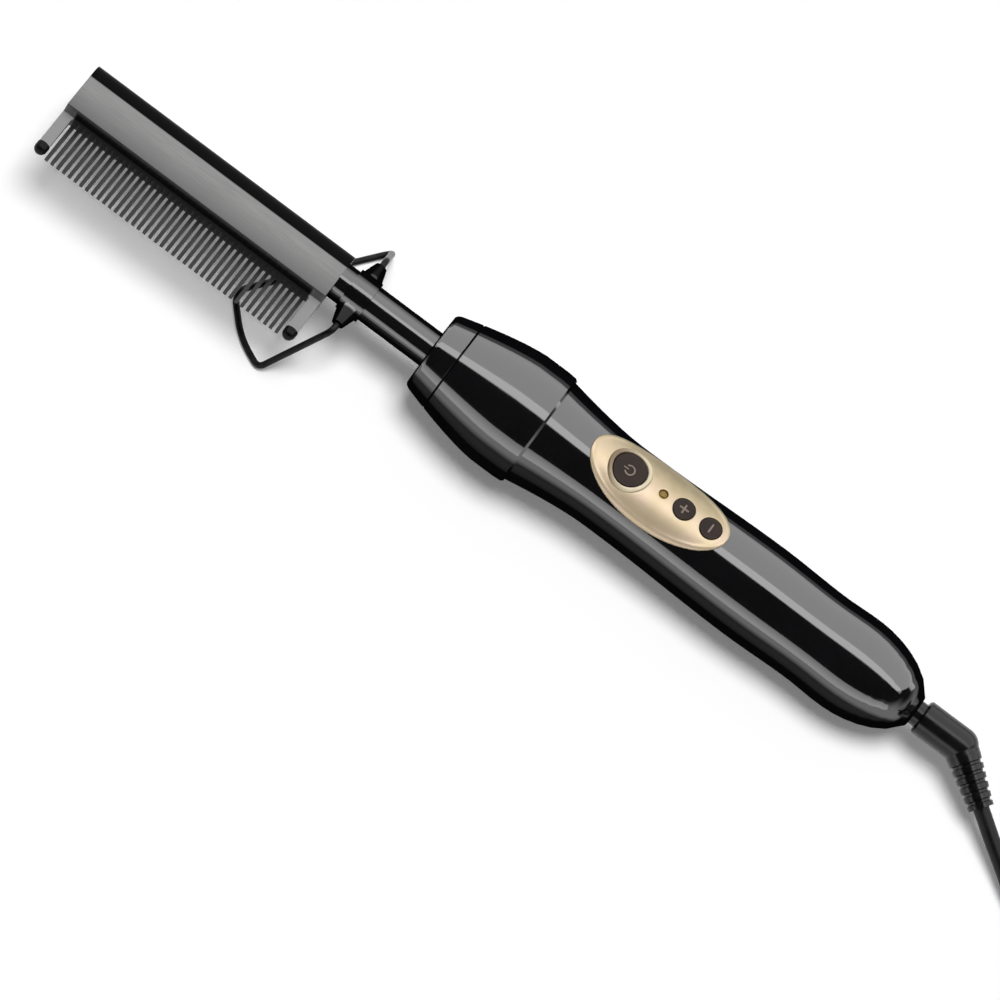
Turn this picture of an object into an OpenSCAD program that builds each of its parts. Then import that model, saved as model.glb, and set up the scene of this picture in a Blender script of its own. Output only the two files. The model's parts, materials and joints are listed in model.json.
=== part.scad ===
// Electric hot comb: a toothed metal comb on a steel neck, a wire bench stand, a two-shell handle
// with three push buttons on a curved plate, and a swivel cord that ends in a two-blade plug.
// Tool frame: X runs from the comb's tip to the cord, the teeth point to -Y, the buttons face +Z,
// and the tool's axis is y = 0, z = 0. posed() then lays the tool down on its stand, bulge and tail.

/* [Comb] */
// Length of the comb, from its tip to its heel
comb_len = 96; // [80:1:120]
// Thickness of the comb's bar, and the diameter of its round back
bar_t = 10.8; // [10:0.1:12]
// Width of the bar, from its back to the step where the teeth begin
bar_w = 19.4; // [16:0.1:22]
// How far the round back stands behind the tool's axis
back_y = 8.8; // [6:0.1:10]
// Length of the teeth below the step
tooth_len = 15.9; // [10:0.1:22]
// Thickness of the tooth plate at its root
tooth_root_t = 3.8; // [3:0.1:5]
// Thickness of the teeth at their tips
tooth_tip_t = 1.6; // [1:0.1:2.4]
// Width of one fine tooth, along the comb
tooth_w = 1.1; // [0.8:0.05:1.5]
// Distance from one fine tooth to the next, before it is evened out
tooth_pitch = 2.1; // [1.8:0.05:3]
// Width of the guard tooth at each end of the comb
guard_w = 3.6; // [3.2:0.1:5]
// Radius of the heat-proof bead on each guard tooth
bead_r = 2.1; // [1.9:0.1:2.6]

/* [Heater] */
// Radius of the heater cartridge in the comb
heater_r = 2.4; // [2:0.1:2.6]
// Length of the heater cartridge
heater_len = 84; // [60:1:90]
// Radius of the sensor probe beside the heater
probe_r = 0.7; // [0.5:0.05:0.8]

/* [Neck] */
// Free length of the neck, from the comb's heel to the handle's nose
neck_free = 34.8; // [30:0.1:60]
// Outer radius of the neck tube
neck_r = 6; // [6:0.1:6.4]
// Wall of the neck tube
neck_wall = 1; // [0.6:0.1:1.1]

/* [Stand] */
// Distance from the comb's heel to the stand's pivot
stand_back = 7.8; // [6:0.1:16]
// Radius of the stand's wire
wire_r = 1.05; // [0.9:0.05:1.4]
// Half the width of the stand, from the tool's axis to the middle of a corner
stand_half_w = 29.4; // [24:0.1:36]
// How far the corners stand ahead of the pivot on average
stand_lead = 6.8; // [2:0.1:9]
// How far the near corner leads and the far corner trails that average
stand_skew = 5.5; // [0:0.1:8]
// Reach of the foot's front bend ahead of the pivot
loop_reach = 32.2; // [24:0.1:40]
// How far the front bend lies to the near side of the tool's axis
loop_side = 13; // [0:0.5:18]
// How far the foot bows out between its near corner and its front bend
loop_bow = 2.5; // [0:0.1:4]

/* [Handle] */
// Length of the nose ring
ring_len = 8.4; // [6:0.1:12]
// Length of the collar behind the nose ring
collar_len = 32.4; // [28:0.1:40]
// Length of the handle shells behind the collar
shell_len = 140.4; // [138:0.1:160]
// Radius of the nose at its front
nose_r = 13; // [12:0.1:14]
// Largest radius of the collar
bulge_r = 19.3; // [18.6:0.1:21]
// Radius of the shells where they meet the collar
shoulder_r = 17.9; // [17.4:0.1:18.5]
// Radius of the handle's waist, under the buttons
waist_r = 14.75; // [14.4:0.05:15.2]
// Radius of the handle's palm swell
palm_r = 15.75; // [15.3:0.05:16.5]
// Radius of the shallow dip behind the palm
dip_r = 15.15; // [14.8:0.05:15.3]
// Radius of the handle's tail swell
tail_r = 15.6; // [15.3:0.05:16.2]
// Wall of the handle shells
wall = 2.2; // [1.8:0.1:2.4]

/* [Buttons] */
// Length of the control plate
plate_len = 49.5; // [46:0.1:56]
// Width of the control plate, seen from above
plate_w = 22.2; // [18:0.1:24]
// How far the plate stands proud of the shell
plate_proud = 0.5; // [0.3:0.05:0.7]
// Radius of the power button
power_r = 5.5; // [5:0.1:5.6]
// Radius of the plus and minus buttons
step_r = 3.5; // [3:0.1:3.7]
// How far each button travels
travel = 0.8; // [0.4:0.05:0.8]
// Distance from the collar to the power button
power_back = 28.4; // [27.5:0.1:30]
// Distance from the power button to the lamp
lamp_back = 12.3; // [11.5:0.1:12.6]
// Distance from the power button to the plus button
plus_back = 19.9; // [19.5:0.1:21]
// Distance from the power button to the minus button
minus_back = 29.7; // [29.5:0.1:31]
// Radius of the lamp
lamp_r = 1.35; // [1:0.05:1.5]

/* [Cord] */
// Radius of the mains cord
cord_r = 2.5; // [2.5:0.05:2.6]
// Radius of the swivel barrel outside the handle
barrel_r = 5.7; // [5.4:0.1:6]
// Length of the thin neck between the handle and the swivel barrel
barrel_neck_len = 2.2; // [1.5:0.1:3]
// Length of the swivel barrel, from the handle to the elbow
barrel_len = 16.5; // [12:0.5:24]
// Bend of the elbow between the barrel and the strain relief
elbow = 35; // [20:1:45]
// How far the elbow is rolled below the level
elbow_roll = 20; // [10:1:24]
// Length of the strain relief
relief_len = 16.5; // [16:0.5:18]
// Turns in each layer of the coil
layer_turns = 2.5; // [2.5]
// Layers in the coil
coil_layers = 4; // [4]
// Radius of the middle of the coil's turns
coil_mid_r = 26.9; // [26:0.1:30]
// Length of the plug's body
plug_len = 30; // [26:0.5:36]
// Width of the plug's body
plug_w = 24; // [22:0.5:28]
// Thickness of the plug's body
plug_t = 15; // [13:0.5:18]

/* [Fits] */
// Gap of a part that is seated in another
seat_gap = 0.05; // [0.03:0.01:0.1]
// Radial gap of the stand's wire in its lugs
pivot_gap = 0.06; // [0.02:0.01:0.09]
// Radial gap of the swivel in its bearing
swivel_gap = 0.08; // [0.02:0.01:0.09]
// Gap round a button
button_gap = 0.15; // [0.1:0.01:0.2]
// Gap between faces that run past each other
running_gap = 0.3; // [0.2:0.05:0.4]

/* [Hidden] */
$fn = 64;

// Stations along the tool's axis
nose_x = comb_len + neck_free;
collar_x = nose_x + ring_len;
seam_x = collar_x + collar_len;
tail_x = seam_x + shell_len;
pivot_x = comb_len + stand_back;
power_x = seam_x + power_back;
lamp_x = power_x + lamp_back;
plus_x = power_x + plus_back;
minus_x = power_x + minus_back;

// Stations of the handle's outline, measured from the seam or from the tail
bulge_from = seam_x - 11.6;
waist_from = seam_x + 26.4;
waist_to = seam_x + 33.4;
palm_x = seam_x + 80.4;
tail_swell_x = tail_x - 25;
dip_x = (palm_x + tail_swell_x) / 2 + 5.5;
tail_cap_len = 26.5;

function clamp01(t) = min(1, max(0, t));
function eased(t) = let (c = clamp01(t)) c * c * (3 - 2 * c);
function blend(a, b, t) = a + (b - a) * eased(t);
function unit(v) = v / norm(v);

// Outer radius of the nose ring and collar at station x
function nose_radius(x) =
    bulge_r - (bulge_r - nose_r) * pow(clamp01((bulge_from - x) / (bulge_from - nose_x)), 1.4);

// Outer radius of the shells at station x
function shell_radius(x) =
    x < waist_from ? waist_r + (shoulder_r - waist_r) * pow((waist_from - x) / (waist_from - seam_x), 1.5)
    : x < palm_x ? blend(waist_r, palm_r, (x - waist_to) / (palm_x - waist_to))
    : x < dip_x ? blend(palm_r, dip_r, (x - palm_x) / (dip_x - palm_x))
    : x < tail_swell_x ? blend(dip_r, tail_r, (x - dip_x) / (tail_swell_x - dip_x))
    : tail_r * sqrt(1 - pow((x - tail_swell_x) / tail_cap_len, 2));

// The tool lies on the collar's bulge and the tail swell, so its axis leans towards the tail.
bulge_foot_x = seam_x - 3.6;
lean = atan((bulge_r - tail_r) / (tail_swell_x - bulge_foot_x));
lift = bulge_foot_x * sin(lean) + bulge_r * cos(lean);
pivot_h = lift - pivot_x * sin(lean);

// The elbow and the strain relief, in the tool frame
barrel_x = tail_x + barrel_neck_len;
elbow_x = tail_x + running_gap + barrel_len;
elbow_stub = 3.5;
boot_r = 5.3;
boot_tip_r = cord_r + 1.5;
exit_dir = [cos(elbow), -sin(elbow) * cos(elbow_roll), -sin(elbow) * sin(elbow_roll)];
exit_tool = [elbow_x, 0, 0] + (elbow_stub + relief_len) * exit_dir;

function leaned(v) = [v[0] * cos(lean) + v[2] * sin(lean), v[1], v[2] * cos(lean) - v[0] * sin(lean)];
middle_x = (leaned(exit_tool)[0] + boot_tip_r * sin(elbow)) / 2;
function placed(v) = leaned(v) + [-middle_x, 0, lift];
module posed() {
    translate([-middle_x, 0, lift]) rotate([0, lean, 0]) children();
}

// Comb
bar_r = bar_t / 2;
back_c = back_y - bar_r;
step_y = back_y - bar_w;
tip_y = step_y - tooth_len;
chamfer = 1;
root_y = step_y - 1;
tooth_span = comb_len - 2 * guard_w;
slots = floor((tooth_span + tooth_w) / tooth_pitch);
even_pitch = (tooth_span + tooth_w) / slots;
bead_len = 3.6;
bead_y = tip_y + bead_len;
peg_r = 1;
heater_y = 1.1;
heater_bore = heater_r + seat_gap;
probe_y = -3.2;
probe_bore = probe_r + 0.15;
spigot_r = neck_r - neck_wall - seat_gap;
spigot_len = 12;
lead_r = 0.65;
lead_y = 1.2;
probe_len = 12;
probe_lead_r = 0.4;

// Neck, nose and collar
neck_end = collar_x + 16.8;
ring_spigot_r = 12.3;
ring_spigot_len = 7;
seam_cut = 0.35;
mount_from = collar_x + ring_spigot_len;
mount_r = 12.2;
collar_bore_r = 15;
collar_front_len = 11;
screw_ring_r = 9.2;
mount_screw_r = 1.3;
mount_head_r = 2.2;
mount_head_h = 1.8;
shell_tongue_r = collar_bore_r - seat_gap;
shell_tongue_len = 10.5;
tongue_bore_r = 12.5;

// Shells and what they hold
shell_step = 3.9;
cavity_end = tail_x - 9.6;
bearing_r = 4;
board_from = seam_x + 14.4;
board_to = seam_x + 94.4;
board_w = 18;
board_t = 1.6;
board_z = lead_r + seat_gap;
board_top = board_z + board_t;
boss_r = 2.8;
case_screw_x = [seam_x + 71.4, tail_x - 35];
case_screw_r = 1.3;
case_head_r = 2.6;
case_head_h = 1.8;
case_screw_len = 12;
head_seat_z = -9.2;
post_r = 2;
post_y = 6.6;
post_x = [board_from + 4, board_to - 4];

// Buttons, in heights above the tool's axis
plate_t = 1.4;
plate_in = plate_t - plate_proud;
plate_from = seam_x + 14.7;
button_block_z = 10.6;
flange_t = 1;
flange_out = 0.8;
flange_z = button_block_z - 0.1 - flange_t;
switch_body = 6;
switch_h = 3.5;
switch_pin_r = 1.7;
switch_pin_h = 0.9;
stem_z = board_top + switch_h + switch_pin_h + travel + 0.05;
stem_r = 1.5;
ring_r = 7;
ring_rise = 0.55;
mark_len = 3.2;
mark_w = 0.6;
mark_h = 0.25;

// Swivel
shaft_r = 3;
shaft_from = tail_x - 27;
flange_r = 6;
slip_r = 3.8;
slip_len = 3;
slip_x = [tail_x - 25, tail_x - 20];
holder_from = tail_x - 28;
holder_to = tail_x - 15;
holder_half = 7.2;
holder_bore = 5.4;
brush_w = 2.2;
brush_gap = 0.1;
mains_lead_r = 0.8;
mains_lead_y = 5;

// Stand wire, relative to the pivot and level with the table
wire_sides = 10;
wire_flat_r = wire_r * sqrt(2 * PI / wire_sides / sin(360 / wire_sides));
foot_z = wire_flat_r - pivot_h;
lug_in = neck_r + 0.8;
lug_out = 12;
lug_base_r = 3.8;
lug_tip_r = 2;
clip_len = 7.6;
clip_wall = 1;
pin_end = lug_out + 0.8;
shoulder_y = pin_end + 2.2;
bend_r = 3;
front_r = 6;
bow_r = 30;
bow_share = 0.4;
function foot_corner(side) = [-stand_lead + stand_skew * side, stand_half_w * side, foot_z];
foot_front = [-loop_reach, -loop_side, foot_z];
foot_way = unit(foot_front - foot_corner(-1));
foot_bow = (1 - bow_share) * foot_corner(-1) + bow_share * foot_front
    + loop_bow * [-foot_way[1], foot_way[0], 0];
function bend(a, b, c, n) =
    [for (i = [0:n]) let (t = i / n) (1 - t) * (1 - t) * a + 2 * t * (1 - t) * b + t * t * c];
function toward(a, b, d) = a + d * unit(b - a);
// The bend at b, on the way from a to c, that starts where an arc of radius r would
function rounded(a, b, c, r) =
    let (d = r / tan(acos(unit(a - b) * unit(c - b)) / 2)) bend(toward(b, a, d), b, toward(b, c, d), 6);
// One leg, from the end of its pin to its corner of the foot, which then goes on towards next
function leg(side, next) =
    let (start = [0, side * (pin_end - 0.5), 0], shoulder = [0, side * shoulder_y, 0],
         corner = foot_corner(side))
    concat([start],
           bend([0, side * pin_end, 0], shoulder, toward(shoulder, corner, 1.8), 4),
           rounded(shoulder, corner, next, bend_r));
function backwards(list) = [for (i = [len(list) - 1:-1:0]) list[i]];
wire_path = concat(leg(-1, foot_bow),
                   rounded(foot_corner(-1), foot_bow, foot_front, bow_r),
                   rounded(foot_bow, foot_front, foot_corner(1), front_r),
                   backwards(leg(1, foot_front)));

// Cord route, in the frame of the finished part: round numbers chosen by hand after the exit
cord_exit = placed(exit_tool);
cord_dir = leaned(exit_dir);
coil_h = 3.5;
coil_turn = -34;
coil_heading = [cos(coil_turn), sin(coil_turn), 0];
coil_start = [222, -45, coil_h];
lead_path = [cord_exit, cord_exit + 2 * cord_r * cord_dir,
             [180, -16.5, 7.5], [187, -21, 6], [195, -26.5, 4.6],
             [203, -32, 3.8], [210, -36.9, coil_h], coil_start - 2 * cord_r * coil_heading, coil_start];

// Coil: the spiral winds in and out at a steady rate and climbs where it reverses
wind_gap = 0.5;
wind_pitch = 2 * cord_r + wind_gap;
coil_turns = coil_layers * layer_turns;
coil_out_r = coil_mid_r + wind_pitch * layer_turns / 2;
coil_in = [-sin(coil_turn), cos(coil_turn), 0];
coil_c = coil_start + 2 * cord_r * coil_heading + coil_out_r * coil_in;
top_h = coil_h + (coil_layers - 1) * wind_pitch;
plug_h = top_h + cord_r + plug_t / 2 + running_gap;
rings_per_turn = 24;
over_r = 24;
over_turn = 130;
rise_from = -40;
rise_to = 110;
function wind_r(t) =
    let (q = t / layer_turns, k = floor(q), f = q - k)
    coil_out_r - wind_pitch * layer_turns * (k % 2 == 0 ? f : 1 - f);
function climb(t, k) = k == coil_layers ? 0 : eased((t - k * layer_turns + 0.25) / 0.5) + climb(t, k + 1);
function last_rise(angle) = (plug_h - top_h) * eased((angle - rise_from) / (rise_to - rise_from));
function turned(angle) = [sin(coil_turn + angle), -cos(coil_turn + angle), 0];
function wind_point(t) =
    coil_c + wind_r(t) * turned(360 * t)
    + [0, 0, wind_pitch * climb(t, 1) + last_rise(360 * (t - coil_turns))];
function over_point(angle) =
    coil_c + (coil_out_r - over_r) * turned(0) + over_r * turned(angle)
    + [0, 0, top_h - coil_h + last_rise(angle)];
plug_dir = [cos(coil_turn + over_turn), sin(coil_turn + over_turn), 0];
over_end = over_point(over_turn);
plug_start = over_end + 2 * cord_r * plug_dir;
coil_path = concat([coil_start],
                   [for (i = [0:coil_turns * rings_per_turn]) wind_point(i / rings_per_turn)],
                   [for (i = [1:10]) over_point(over_turn * i / 10)],
                   [plug_start]);
function run(path, i = 0) = i == len(path) - 1 ? 0 : norm(path[i + 1] - path[i]) + run(path, i + 1);
near_rings = rings_per_turn / 2;
coil_gap = min([for (i = [0:len(coil_path) - 1 - near_rings])
                min([for (j = [i + near_rings:len(coil_path) - 1]) norm(coil_path[j] - coil_path[i])])])
           - 2 * cord_r;
echo(cord_length = run(lead_path) + run(coil_path), coil_gap = coil_gap);
echo(lean = lean, middle_x = middle_x, lift = lift, pivot = placed([pivot_x, 0, 0]));
echo(exit = cord_exit, exit_dir = cord_dir, coil_c = coil_c, plug_start = plug_start, plug_dir = plug_dir);

// Tie round the coil
tie_angle = 288;
tie_w = 6;
tie_t = 0.8;
tie_gap = 0.15;

// Plug, in its own frame: X runs from the cord to the blades
plug_relief_len = 12;
plug_relief_r = 5;
blade_len = 16.5;
blade_w = 6.35;
blade_t = 1.5;
blade_spacing = 12.7;
blade_root = 8;
blade_hole_r = 1.59;
blade_hole_back = 11.7;
plug_face = plug_relief_len + plug_len;

// Shapes that repeat
module along_x(from, to, r) {
    translate([from, 0, 0]) rotate([0, 90, 0]) cylinder(h = to - from, r = r);
}

module cone_x(from, to, r1, r2) {
    translate([from, 0, 0]) rotate([0, 90, 0]) cylinder(h = to - from, r1 = r1, r2 = r2);
}

module ring_x(from, to, outer, inner) {
    difference() {
        along_x(from, to, outer);
        along_x(from - 1, to + 1, inner);
    }
}

// A solid of revolution about X from [x, radius] points
module lathe(points) {
    rotate([0, 90, 0]) rotate_extrude() polygon([for (p = points) [p[1], p[0]]]);
}

function even(from, to, step) =
    let (n = max(1, ceil((to - from) / step))) [for (i = [0:n]) from + (to - from) * i / n];
function shell_line(from, to, extra) = [for (x = even(from, to, shell_step)) [x, shell_radius(x) + extra]];

// The solid under the shells' outer surface, moved out by extra, between two stations
module under_shell(from, to, extra) {
    lathe(concat([[from, 0]], shell_line(from, to, extra), [[to, 0]]));
}

// The layer that follows the shells' surface, over the whole length of the control plate
module plate_layer(low, high) {
    from = plate_from - 4;
    to = plate_from + plate_len + 4;
    difference() {
        under_shell(from, to, high);
        under_shell(from - 1, to + 1, low);
    }
}

module plate_outline(grow) {
    n = 2.2;
    points = 48;
    a = plate_len / 2 + grow;
    b = plate_w / 2 + grow;
    polygon([for (i = [0:points - 1])
             let (t = 360 * i / points)
             [plate_from + plate_len / 2 + a * sign(cos(t)) * pow(abs(cos(t)), 2 / n),
              b * sign(sin(t)) * pow(abs(sin(t)), 2 / n)]]);
}

module button_bores(grow) {
    for (b = [[power_x, power_r], [plus_x, step_r], [minus_x, step_r], [lamp_x, lamp_r]])
        translate([b[0], 0, 0]) cylinder(h = 3 * bulge_r, r = b[1] + grow);
}

// A swept tube of flat sides along a path
function tangents(p) = [for (i = [0:len(p) - 1]) unit(p[min(i + 1, len(p) - 1)] - p[max(i - 1, 0)])];
function carried(ts, u, i = 0) =
    i == len(ts) ? []
    : let (n = unit(u - (u * ts[i]) * ts[i])) concat([n], carried(ts, n, i + 1));
module tube(path, r, sides, up = [0, 0, 1]) {
    ts = tangents(path);
    us = carried(ts, up);
    last = (len(path) - 1) * sides;
    points = [for (i = [0:len(path) - 1]) for (k = [0:sides - 1])
              let (a = 360 * k / sides) path[i] + r * (cos(a) * us[i] + sin(a) * cross(ts[i], us[i]))];
    walls = [for (i = [0:len(path) - 2]) for (k = [0:sides - 1])
             let (a = i * sides + k, b = i * sides + (k + 1) % sides)
             each [[a, a + sides, b], [b, a + sides, b + sides]]];
    ends = [for (k = [1:sides - 2]) each [[0, k, k + 1], [last, last + k + 1, last + k]]];
    polyhedron(points, concat(walls, ends));
}

// Sub-parts
module comb_section() {
    polygon([[back_c, bar_r], [step_y + chamfer, bar_r], [step_y, tooth_root_t / 2], [tip_y, tooth_tip_t / 2],
             [tip_y, -tooth_tip_t / 2], [step_y, -tooth_root_t / 2],
             [step_y + chamfer, -bar_r], [back_c, -bar_r]]);
    translate([back_c, 0]) circle(r = bar_r);
}

module guard_ends(from, to, r) {
    for (x = [guard_w / 2, comb_len - guard_w / 2])
        translate([x, from, 0]) rotate([90, 0, 0]) cylinder(h = from - to, r = r);
}

module comb_body() {
    color([0.62, 0.62, 0.62]) posed() {
        difference() {
            union() {
                rotate([90, 0, 90]) linear_extrude(comb_len) comb_section();
                along_x(comb_len - 2, comb_len + spigot_len, spigot_r);
            }
            for (i = [0:slots - 1])
                translate([guard_w + i * even_pitch, tip_y - 1, -bar_t])
                    cube([even_pitch - tooth_w, root_y - tip_y + 1, 2 * bar_t]);
            for (x = [-1, comb_len - guard_w - 0.1])
                translate([x, tip_y - 1, -bar_t]) cube([guard_w + 1.1, bead_len + 1, 2 * bar_t]);
            translate([0, heater_y, 0])
                along_x(comb_len - heater_len - 4, comb_len + spigot_len + 1, heater_bore);
            translate([0, probe_y, 0])
                along_x(comb_len - probe_len - 30, comb_len + spigot_len + 1, probe_bore);
        }
        guard_ends(bead_y + 1, bead_y - bead_len + bead_r, peg_r);
    }
}

module guard_tips() {
    color([0.06, 0.06, 0.06]) posed() difference() {
        union() {
            guard_ends(bead_y, tip_y + bead_r, bead_r);
            for (x = [guard_w / 2, comb_len - guard_w / 2])
                translate([x, tip_y + bead_r, 0]) sphere(r = bead_r);
        }
        guard_ends(bead_y + bead_r, bead_y, 2 * bead_r);
        guard_ends(bead_y + 1, bead_y - bead_len + bead_r - seat_gap, peg_r + seat_gap);
    }
}

module heater_cartridge() {
    color([0.75, 0.74, 0.7]) posed() translate([0, heater_y, 0])
        along_x(comb_len - heater_len - 3, comb_len - 3, heater_r);
}

module temperature_probe() {
    color([0.85, 0.85, 0.8]) posed() translate([0, probe_y, 0]) {
        along_x(comb_len - probe_len - 29, comb_len - 29, probe_r);
        along_x(comb_len - 29.5, board_from + 3, probe_lead_r);
    }
}

module heater_leads() {
    color([0.85, 0.83, 0.75]) posed() for (side = [-1, 1])
        translate([0, heater_y + side * lead_y, 0]) along_x(comb_len - 3, board_from + 3, lead_r);
}

module neck_tube() {
    color([0.05, 0.05, 0.05]) posed() ring_x(comb_len, neck_end, neck_r, neck_r - neck_wall);
}

module mount_holes(from, to, r) {
    for (side = [-1, 1]) translate([0, side * screw_ring_r, 0]) along_x(from, to, r);
}

module neck_mount() {
    color([0.35, 0.22, 0.14]) posed() difference() {
        union() {
            along_x(mount_from, mount_from + 8, mount_r);
            along_x(mount_from + 8, neck_end + 2, neck_r + 2.2);
        }
        along_x(mount_from - 1, neck_end, neck_r + seat_gap);
        along_x(neck_end - 1, neck_end + 3, neck_r - neck_wall);
        mount_holes(mount_from - 1, mount_from + 9, mount_screw_r + seat_gap);
        mount_holes(mount_from + 8, neck_end + 3, mount_head_r + running_gap);
    }
}

module mount_screws() {
    color([0.7, 0.7, 0.72]) posed() {
        mount_holes(mount_from - 6, mount_from + 8 + mount_head_h / 2, mount_screw_r);
        mount_holes(mount_from + 8, mount_from + 8 + mount_head_h, mount_head_r);
    }
}

module nose_ring() {
    color([0.04, 0.04, 0.04]) posed() difference() {
        union() {
            lathe(concat([[nose_x, 0], [nose_x, nose_r - 0.8], [nose_x + 0.5, nose_r - 0.1]],
                         [for (x = even(nose_x + 1.4, collar_x - seam_cut, 1.8)) [x, nose_radius(x)]],
                         [[collar_x, nose_radius(collar_x) - seam_cut], [collar_x, 0]]));
            along_x(collar_x - 1, collar_x + ring_spigot_len, ring_spigot_r);
        }
        along_x(nose_x - 1, mount_from + 1, neck_r + seat_gap);
        mount_holes(mount_from - 6.2, mount_from + 1, mount_screw_r + 0.02);
    }
}

module nose_collar() {
    front_bore = ring_spigot_r + seat_gap;
    color([0.05, 0.05, 0.05]) posed() difference() {
        lathe(concat([[collar_x, 0], [collar_x, nose_radius(collar_x) - seam_cut]],
                     [for (x = even(collar_x + seam_cut, bulge_from, 3)) [x, nose_radius(x)]],
                     [[bulge_foot_x, bulge_r], [seam_x - 0.8, bulge_r - 0.2]],
                     [[seam_x, bulge_r - 0.8], [seam_x, 0]]));
        along_x(collar_x - 1, seam_x + 1, front_bore);
        along_x(collar_x + collar_front_len, seam_x + 1, collar_bore_r);
    }
}

// Both shells in one, closed and hollow, with the tongue that fits in the collar
module whole_shell() {
    inner = [for (p = shell_line(seam_x + wall, cavity_end, -wall)) [p[0], min(p[1], collar_bore_r)]];
    difference() {
        union() {
            under_shell(seam_x, tail_x, 0);
            along_x(seam_x - shell_tongue_len, seam_x + 1, shell_tongue_r);
        }
        lathe(concat([[seam_x - shell_tongue_len - 1, 0], [seam_x - shell_tongue_len - 1, tongue_bore_r],
                      [seam_x + wall, tongue_bore_r]], inner, [[cavity_end, 0]]));
        along_x(cavity_end - 1, tail_x + 1, bearing_r + swivel_gap);
    }
}

module half_space(side) {
    size = 4 * bulge_r;
    translate([seam_x - 2 * size, -size, side > 0 ? 0 : -2 * size]) cube([8 * size, 2 * size, 2 * size]);
}

module upper_shell() {
    block_from = power_x - power_r - 2.8;
    block_to = minus_x + step_r + 2.8;
    color([0.05, 0.05, 0.05]) posed() difference() {
        union() {
            intersection() {
                whole_shell();
                half_space(1);
            }
            intersection() {
                translate([block_from, -8.2, button_block_z]) cube([block_to - block_from, 16.4, bulge_r]);
                under_shell(block_from - 1, block_to + 1, -wall / 2);
            }
            intersection() {
                for (x = case_screw_x) translate([x, 0, 0]) cylinder(h = bulge_r, r = boss_r);
                under_shell(seam_x, tail_x, -wall / 2);
            }
        }
        intersection() {
            plate_layer(-plate_in - seat_gap, 5);
            linear_extrude(3 * bulge_r) plate_outline(seat_gap);
        }
        button_bores(button_gap);
        for (x = case_screw_x)
            translate([x, 0, -1]) cylinder(h = case_screw_len + head_seat_z + 1.3, r = case_screw_r + 0.02);
    }
}

module lower_shell() {
    color([0.05, 0.05, 0.05]) posed() difference() {
        union() {
            intersection() {
                whole_shell();
                half_space(-1);
            }
            intersection() {
                union() {
                    for (x = case_screw_x) translate([x, 0, -bulge_r])
                        cylinder(h = bulge_r, r = boss_r + 0.6);
                    for (x = post_x) for (side = [-1, 1])
                        translate([x, side * post_y, -bulge_r]) cylinder(h = bulge_r + board_z, r = post_r);
                    translate([holder_from + 1, -3, -bulge_r])
                        cube([holder_to - holder_from - 2, 6, bulge_r - holder_half - seat_gap]);
                }
                under_shell(seam_x, tail_x, -wall / 2);
            }
        }
        for (x = case_screw_x) translate([x, 0, 0]) {
            translate([0, 0, -2 * bulge_r]) cylinder(h = 3 * bulge_r, r = case_screw_r + 0.2);
            translate([0, 0, -2 * bulge_r]) cylinder(h = 2 * bulge_r + head_seat_z, r = case_head_r + 0.2);
        }
    }
}

module case_screws() {
    color([0.3, 0.3, 0.32]) posed() for (x = case_screw_x) translate([x, 0, head_seat_z]) {
        cylinder(h = case_screw_len, r = case_screw_r);
        translate([0, 0, -case_head_h]) cylinder(h = case_head_h, r = case_head_r);
    }
}

module control_plate() {
    color([0.83, 0.72, 0.47]) posed() difference() {
        intersection() {
            plate_layer(-plate_in, plate_proud);
            linear_extrude(3 * bulge_r) plate_outline(0);
        }
        button_bores(button_gap);
        translate([power_x, 0, 0]) cylinder(h = 3 * bulge_r, r = ring_r + seat_gap);
    }
}

module power_ring() {
    color([0.93, 0.88, 0.74]) posed() intersection() {
        plate_layer(-plate_in, plate_proud + ring_rise);
        translate([power_x, 0, 0]) difference() {
            cylinder(h = 3 * bulge_r, r = ring_r);
            translate([0, 0, -1]) cylinder(h = 4 * bulge_r, r = power_r + button_gap);
        }
    }
}

// A push button: a cap whose top follows the plate, a flange below the block and a stem over its switch
module push_button(x, r, sink) {
    intersection() {
        translate([x, 0, flange_z + flange_t / 2]) cylinder(h = bulge_r, r = r);
        under_shell(x - r - 2, x + r + 2, plate_proud - sink);
    }
    translate([x, 0, flange_z]) cylinder(h = flange_t, r = r + flange_out);
    translate([x, 0, stem_z]) cylinder(h = flange_z + flange_t / 2 - stem_z, r = stem_r);
}

module power_button() {
    dish_r = 18;
    color([0.12, 0.1, 0.09]) posed() difference() {
        push_button(power_x, power_r, 0.1);
        translate([power_x, 0, shell_radius(power_x) + plate_proud + dish_r - 1.1])
            sphere(r = dish_r, $fn = 96);
    }
}

// A raised mark of one bar on the cap of a small button
module mark(x, turn) {
    translate([x, 0, shell_radius(x) + plate_proud - 0.2]) rotate([0, 0, turn])
        translate([-mark_len / 2, -mark_w / 2, 0]) cube([mark_len, mark_w, 0.2 + mark_h]);
}

module plus_button() {
    color([0.14, 0.1, 0.09]) posed() {
        push_button(plus_x, step_r, 0);
        mark(plus_x, 0);
        mark(plus_x, 90);
    }
}

module minus_button() {
    color([0.14, 0.1, 0.09]) posed() {
        push_button(minus_x, step_r, 0);
        mark(minus_x, 90);
    }
}

module status_lamp() {
    lamp_top = shell_radius(lamp_x) + plate_proud - 0.6;
    color([0.55, 0.38, 0.12]) posed() translate([lamp_x, 0, 0]) {
        translate([0, 0, button_block_z - 3]) cylinder(h = lamp_top - button_block_z + 3, r = lamp_r);
        intersection() {
            translate([0, 0, lamp_top - 0.4]) sphere(r = lamp_r);
            translate([0, 0, lamp_top - 1]) cylinder(h = 4, r = lamp_r);
        }
        for (side = [-1, 1])
            translate([0, 0.7 * side, board_top])
                cylinder(h = button_block_z - board_top - 2, r = 0.25, $fn = 16);
    }
}

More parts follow.
